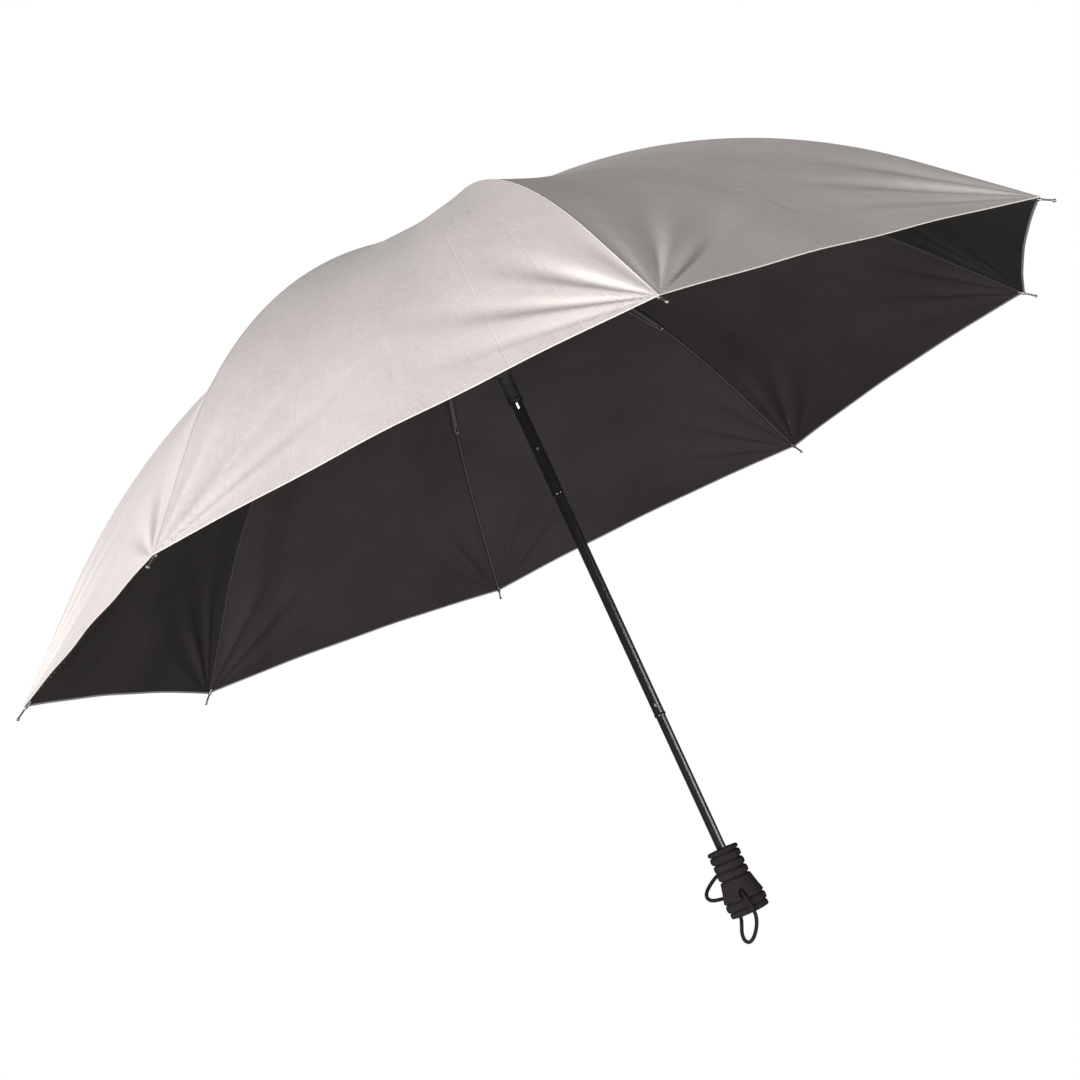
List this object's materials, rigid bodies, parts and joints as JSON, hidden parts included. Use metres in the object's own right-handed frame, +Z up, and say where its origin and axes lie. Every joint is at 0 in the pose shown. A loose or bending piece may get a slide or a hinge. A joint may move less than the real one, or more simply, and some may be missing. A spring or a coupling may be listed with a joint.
{
  "type": "umbrella reflector",
  "caption": "Compact folding umbrella reflector: a silver dome canopy on hinged folding ribs, a telescoping black shaft and a ribbed foam grip with a cord.",
  "frame": {"origin": "on the shaft's axis, where a stand's umbrella clamp holds it, 20 mm above the grip", "axes": "+Z up the shaft towards the crown; +X along rib 1; the spring buttons and the cord's front hole face azimuth -102.8 degrees"},
  "size_m": [1.0024, 1.0024, 0.6912],
  "materials": {
    "shaft_enamel": "glossy black enamel on thin steel tube",
    "rib_steel": "dark grey coated steel",
    "bright_steel": "bright spring steel",
    "black_plastic": "black moulded plastic",
    "silver_canopy": "plain woven cloth with a silver coating outside and black inside",
    "grip_foam": "dark grey closed-cell foam",
    "cord_braid": "black braided cord"
  },
  "bodies": {
    "handle": {"lower_tube": "shaft_enamel", "grip_foam": "grip_foam", "grip_core": "black_plastic", "grip_end_cap": "black_plastic", "wrist_cord_lower": "cord_braid", "wrist_cord_side": "cord_braid"},
    "lower_button": {"lower_button": "bright_steel"},
    "mid_tube": {"mid_tube": "shaft_enamel"},
    "upper_button": {"upper_button": "bright_steel"},
    "canopy_top": {"upper_tube": "shaft_enamel", "crown": "black_plastic", "crown_wire": "bright_steel", "canopy_washer": "black_plastic", "top_cap": "black_plastic", "canopy_panel_1": "silver_canopy", "canopy_panel_2": "silver_canopy", "canopy_panel_3": "silver_canopy", "canopy_panel_4": "silver_canopy", "canopy_panel_5": "silver_canopy", "canopy_panel_6": "silver_canopy", "canopy_panel_7": "silver_canopy", "canopy_panel_8": "silver_canopy"},
    "runner_catch": {"runner_catch": "bright_steel"},
    "runner": {"runner": "black_plastic", "runner_wire": "bright_steel"},
    "top_rib_1": {"top_rib_1": "rib_steel"},
    "mid_rib_1": {"mid_rib_1": "rib_steel"},
    "outer_rib_1": {"outer_rib_1": "rib_steel"},
    "stretcher_1": {"stretcher_1": "rib_steel"},
    "top_rib_2": {"top_rib_2": "rib_steel"},
    "mid_rib_2": {"mid_rib_2": "rib_steel"},
    "outer_rib_2": {"outer_rib_2": "rib_steel"},
    "stretcher_2": {"stretcher_2": "rib_steel"},
    "top_rib_3": {"top_rib_3": "rib_steel"},
    "mid_rib_3": {"mid_rib_3": "rib_steel"},
    "outer_rib_3": {"outer_rib_3": "rib_steel"},
    "stretcher_3": {"stretcher_3": "rib_steel"},
    "top_rib_4": {"top_rib_4": "rib_steel"},
    "mid_rib_4": {"mid_rib_4": "rib_steel"},
    "outer_rib_4": {"outer_rib_4": "rib_steel"},
    "stretcher_4": {"stretcher_4": "rib_steel"},
    "top_rib_5": {"top_rib_5": "rib_steel"},
    "mid_rib_5": {"mid_rib_5": "rib_steel"},
    "outer_rib_5": {"outer_rib_5": "rib_steel"},
    "stretcher_5": {"stretcher_5": "rib_steel"},
    "top_rib_6": {"top_rib_6": "rib_steel"},
    "mid_rib_6": {"mid_rib_6": "rib_steel"},
    "outer_rib_6": {"outer_rib_6": "rib_steel"},
    "stretcher_6": {"stretcher_6": "rib_steel"},
    "top_rib_7": {"top_rib_7": "rib_steel"},
    "mid_rib_7": {"mid_rib_7": "rib_steel"},
    "outer_rib_7": {"outer_rib_7": "rib_steel"},
    "stretcher_7": {"stretcher_7": "rib_steel"},
    "top_rib_8": {"top_rib_8": "rib_steel"},
    "mid_rib_8": {"mid_rib_8": "rib_steel"},
    "outer_rib_8": {"outer_rib_8": "rib_steel"},
    "stretcher_8": {"stretcher_8": "rib_steel"}
  },
  "joints": [
    {"name": "mid_slide", "type": "slide", "parent": "handle", "child": "mid_tube", "axis": [0, 0, -1], "range_m": [0, 0.124], "deforming": ["lower_button"]},
    {"name": "upper_slide", "type": "slide", "parent": "mid_tube", "child": "canopy_top", "axis": [0, 0, -1], "range_m": [0, 0.195], "deforming": ["upper_button", "runner_catch"]},
    {"name": "lower_button_press", "type": "slide", "parent": "handle", "child": "lower_button", "axis": [0.2215, 0.9751, 0], "range_m": [0, 0.0012], "stiffness_N_per_m": 400},
    {"name": "upper_button_press", "type": "slide", "parent": "mid_tube", "child": "upper_button", "axis": [0.2215, 0.9751, 0], "range_m": [0, 0.0012], "stiffness_N_per_m": 400},
    {"name": "catch_press", "type": "slide", "parent": "canopy_top", "child": "runner_catch", "axis": [0.2215, 0.9751, 0], "range_m": [0, 0.001], "stiffness_N_per_m": 400},
    {"name": "top_rib_1_hinge", "type": "hinge", "parent": "canopy_top", "child": "top_rib_1", "pos_m": [0.011, 0, 0.5665], "axis": [0, 1, 0], "range_deg": [-0.5, 82.46]},
    {"name": "mid_rib_1_hinge", "type": "hinge", "parent": "top_rib_1", "child": "mid_rib_1", "pos_m": [0.1689, 0, 0.55212], "axis": [0, 1, 0], "range_deg": [-194.32, 0.5]},
    {"name": "outer_rib_1_hinge", "type": "hinge", "parent": "mid_rib_1", "child": "outer_rib_1", "pos_m": [0.3193, 0, 0.47924], "axis": [0, 1, 0], "range_deg": [-0.5, 160.47]},
    {"name": "stretcher_1_hinge", "type": "hinge", "parent": "runner", "child": "stretcher_1", "pos_m": [0.0105, 0, 0.44612], "axis": [0, 1, 0], "range_deg": [-31.05, 0.5]},
    {"name": "top_rib_2_hinge", "type": "hinge", "parent": "canopy_top", "child": "top_rib_2", "pos_m": [0.00778, 0.00778, 0.5665], "axis": [-0.7071, 0.7071, 0], "range_deg": [-0.5, 82.46]},
    {"name": "mid_rib_2_hinge", "type": "hinge", "parent": "top_rib_2", "child": "mid_rib_2", "pos_m": [0.11943, 0.11943, 0.55212], "axis": [-0.7071, 0.7071, 0], "range_deg": [-194.32, 0.5]},
    {"name": "outer_rib_2_hinge", "type": "hinge", "parent": "mid_rib_2", "child": "outer_rib_2", "pos_m": [0.22578, 0.22578, 0.47924], "axis": [-0.7071, 0.7071, 0], "range_deg": [-0.5, 160.47]},
    {"name": "stretcher_2_hinge", "type": "hinge", "parent": "runner", "child": "stretcher_2", "pos_m": [0.00743, 0.00743, 0.44612], "axis": [-0.7071, 0.7071, 0], "range_deg": [-31.05, 0.5]},
    {"name": "top_rib_3_hinge", "type": "hinge", "parent": "canopy_top", "child": "top_rib_3", "pos_m": [0, 0.011, 0.5665], "axis": [-1, 0, 0], "range_deg": [-0.5, 82.46]},
    {"name": "mid_rib_3_hinge", "type": "hinge", "parent": "top_rib_3", "child": "mid_rib_3", "pos_m": [0, 0.1689, 0.55212], "axis": [-1, 0, 0], "range_deg": [-194.32, 0.5]},
    {"name": "outer_rib_3_hinge", "type": "hinge", "parent": "mid_rib_3", "child": "outer_rib_3", "pos_m": [0, 0.3193, 0.47924], "axis": [-1, 0, 0], "range_deg": [-0.5, 160.47]},
    {"name": "stretcher_3_hinge", "type": "hinge", "parent": "runner", "child": "stretcher_3", "pos_m": [0, 0.0105, 0.44612], "axis": [-1, 0, 0], "range_deg": [-31.05, 0.5]},
    {"name": "top_rib_4_hinge", "type": "hinge", "parent": "canopy_top", "child": "top_rib_4", "pos_m": [-0.00778, 0.00778, 0.5665], "axis": [-0.7071, -0.7071, 0], "range_deg": [-0.5, 82.46]},
    {"name": "mid_rib_4_hinge", "type": "hinge", "parent": "top_rib_4", "child": "mid_rib_4", "pos_m": [-0.11943, 0.11943, 0.55212], "axis": [-0.7071, -0.7071, 0], "range_deg": [-194.32, 0.5]},
    {"name": "outer_rib_4_hinge", "type": "hinge", "parent": "mid_rib_4", "child": "outer_rib_4", "pos_m": [-0.22578, 0.22578, 0.47924], "axis": [-0.7071, -0.7071, 0], "range_deg": [-0.5, 160.47]},
    {"name": "stretcher_4_hinge", "type": "hinge", "parent": "runner", "child": "stretcher_4", "pos_m": [-0.00743, 0.00743, 0.44612], "axis": [-0.7071, -0.7071, 0], "range_deg": [-31.05, 0.5]},
    {"name": "top_rib_5_hinge", "type": "hinge", "parent": "canopy_top", "child": "top_rib_5", "pos_m": [-0.011, 0, 0.5665], "axis": [0, -1, 0], "range_deg": [-0.5, 82.46]},
    {"name": "mid_rib_5_hinge", "type": "hinge", "parent": "top_rib_5", "child": "mid_rib_5", "pos_m": [-0.1689, 0, 0.55212], "axis": [0, -1, 0], "range_deg": [-194.32, 0.5]},
    {"name": "outer_rib_5_hinge", "type": "hinge", "parent": "mid_rib_5", "child": "outer_rib_5", "pos_m": [-0.3193, 0, 0.47924], "axis": [0, -1, 0], "range_deg": [-0.5, 160.47]},
    {"name": "stretcher_5_hinge", "type": "hinge", "parent": "runner", "child": "stretcher_5", "pos_m": [-0.0105, 0, 0.44612], "axis": [0, -1, 0], "range_deg": [-31.05, 0.5]},
    {"name": "top_rib_6_hinge", "type": "hinge", "parent": "canopy_top", "child": "top_rib_6", "pos_m": [-0.00778, -0.00778, 0.5665], "axis": [0.7071, -0.7071, 0], "range_deg": [-0.5, 82.46]},
    {"name": "mid_rib_6_hinge", "type": "hinge", "parent": "top_rib_6", "child": "mid_rib_6", "pos_m": [-0.11943, -0.11943, 0.55212], "axis": [0.7071, -0.7071, 0], "range_deg": [-194.32, 0.5]},
    {"name": "outer_rib_6_hinge", "type": "hinge", "parent": "mid_rib_6", "child": "outer_rib_6", "pos_m": [-0.22578, -0.22578, 0.47924], "axis": [0.7071, -0.7071, 0], "range_deg": [-0.5, 160.47]},
    {"name": "stretcher_6_hinge", "type": "hinge", "parent": "runner", "child": "stretcher_6", "pos_m": [-0.00743, -0.00743, 0.44612], "axis": [0.7071, -0.7071, 0], "range_deg": [-31.05, 0.5]},
    {"name": "top_rib_7_hinge", "type": "hinge", "parent": "canopy_top", "child": "top_rib_7", "pos_m": [0, -0.011, 0.5665], "axis": [1, 0, 0], "range_deg": [-0.5, 82.46]},
    {"name": "mid_rib_7_hinge", "type": "hinge", "parent": "top_rib_7", "child": "mid_rib_7", "pos_m": [0, -0.1689, 0.55212], "axis": [1, 0, 0], "range_deg": [-194.32, 0.5]},
    {"name": "outer_rib_7_hinge", "type": "hinge", "parent": "mid_rib_7", "child": "outer_rib_7", "pos_m": [0, -0.3193, 0.47924], "axis": [1, 0, 0], "range_deg": [-0.5, 160.47]},
    {"name": "stretcher_7_hinge", "type": "hinge", "parent": "runner", "child": "stretcher_7", "pos_m": [0, -0.0105, 0.44612], "axis": [1, 0, 0], "range_deg": [-31.05, 0.5]},
    {"name": "top_rib_8_hinge", "type": "hinge", "parent": "canopy_top", "child": "top_rib_8", "pos_m": [0.00778, -0.00778, 0.5665], "axis": [0.7071, 0.7071, 0], "range_deg": [-0.5, 82.46]},
    {"name": "mid_rib_8_hinge", "type": "hinge", "parent": "top_rib_8", "child": "mid_rib_8", "pos_m": [0.11943, -0.11943, 0.55212], "axis": [0.7071, 0.7071, 0], "range_deg": [-194.32, 0.5]},
    {"name": "outer_rib_8_hinge", "type": "hinge", "parent": "mid_rib_8", "child": "outer_rib_8", "pos_m": [0.22578, -0.22578, 0.47924], "axis": [0.7071, 0.7071, 0], "range_deg": [-0.5, 160.47]},
    {"name": "stretcher_8_hinge", "type": "hinge", "parent": "runner", "child": "stretcher_8", "pos_m": [0.00743, -0.00743, 0.44612], "axis": [0.7071, 0.7071, 0], "range_deg": [-31.05, 0.5]},
    {"name": "canopy_fold", "type": "slide", "parent": "canopy_top", "child": "runner", "axis": [0, 0, -1], "range_m": [0, 0.08255], "deforming": ["canopy_panel_1", "canopy_panel_2", "canopy_panel_3", "canopy_panel_4", "canopy_panel_5", "canopy_panel_6", "canopy_panel_7", "canopy_panel_8", "runner_catch", "upper_button"]}
  ],
  "couplings": [
    {"joint": "top_rib_1_hinge", "follows": "canopy_fold", "rad_per_m": 17.33},
    {"joint": "mid_rib_1_hinge", "follows": "canopy_fold", "rad_per_m": -40.98},
    {"joint": "outer_rib_1_hinge", "follows": "canopy_fold", "rad_per_m": 33.823},
    {"joint": "stretcher_1_hinge", "follows": "canopy_fold", "rad_per_m": -6.4585},
    {"joint": "top_rib_2_hinge", "follows": "canopy_fold", "rad_per_m": 17.33},
    {"joint": "mid_rib_2_hinge", "follows": "canopy_fold", "rad_per_m": -40.98},
    {"joint": "outer_rib_2_hinge", "follows": "canopy_fold", "rad_per_m": 33.823},
    {"joint": "stretcher_2_hinge", "follows": "canopy_fold", "rad_per_m": -6.4585},
    {"joint": "top_rib_3_hinge", "follows": "canopy_fold", "rad_per_m": 17.33},
    {"joint": "mid_rib_3_hinge", "follows": "canopy_fold", "rad_per_m": -40.98},
    {"joint": "outer_rib_3_hinge", "follows": "canopy_fold", "rad_per_m": 33.823},
    {"joint": "stretcher_3_hinge", "follows": "canopy_fold", "rad_per_m": -6.4585},
    {"joint": "top_rib_4_hinge", "follows": "canopy_fold", "rad_per_m": 17.33},
    {"joint": "mid_rib_4_hinge", "follows": "canopy_fold", "rad_per_m": -40.98},
    {"joint": "outer_rib_4_hinge", "follows": "canopy_fold", "rad_per_m": 33.823},
    {"joint": "stretcher_4_hinge", "follows": "canopy_fold", "rad_per_m": -6.4585},
    {"joint": "top_rib_5_hinge", "follows": "canopy_fold", "rad_per_m": 17.33},
    {"joint": "mid_rib_5_hinge", "follows": "canopy_fold", "rad_per_m": -40.98},
    {"joint": "outer_rib_5_hinge", "follows": "canopy_fold", "rad_per_m": 33.823},
    {"joint": "stretcher_5_hinge", "follows": "canopy_fold", "rad_per_m": -6.4585},
    {"joint": "top_rib_6_hinge", "follows": "canopy_fold", "rad_per_m": 17.33},
    {"joint": "mid_rib_6_hinge", "follows": "canopy_fold", "rad_per_m": -40.98},
    {"joint": "outer_rib_6_hinge", "follows": "canopy_fold", "rad_per_m": 33.823},
    {"joint": "stretcher_6_hinge", "follows": "canopy_fold", "rad_per_m": -6.4585},
    {"joint": "top_rib_7_hinge", "follows": "canopy_fold", "rad_per_m": 17.33},
    {"joint": "mid_rib_7_hinge", "follows": "canopy_fold", "rad_per_m": -40.98},
    {"joint": "outer_rib_7_hinge", "follows": "canopy_fold", "rad_per_m": 33.823},
    {"joint": "stretcher_7_hinge", "follows": "canopy_fold", "rad_per_m": -6.4585},
    {"joint": "top_rib_8_hinge", "follows": "canopy_fold", "rad_per_m": 17.33},
    {"joint": "mid_rib_8_hinge", "follows": "canopy_fold", "rad_per_m": -40.98},
    {"joint": "outer_rib_8_hinge", "follows": "canopy_fold", "rad_per_m": 33.823},
    {"joint": "stretcher_8_hinge", "follows": "canopy_fold", "rad_per_m": -6.4585}
  ]
}
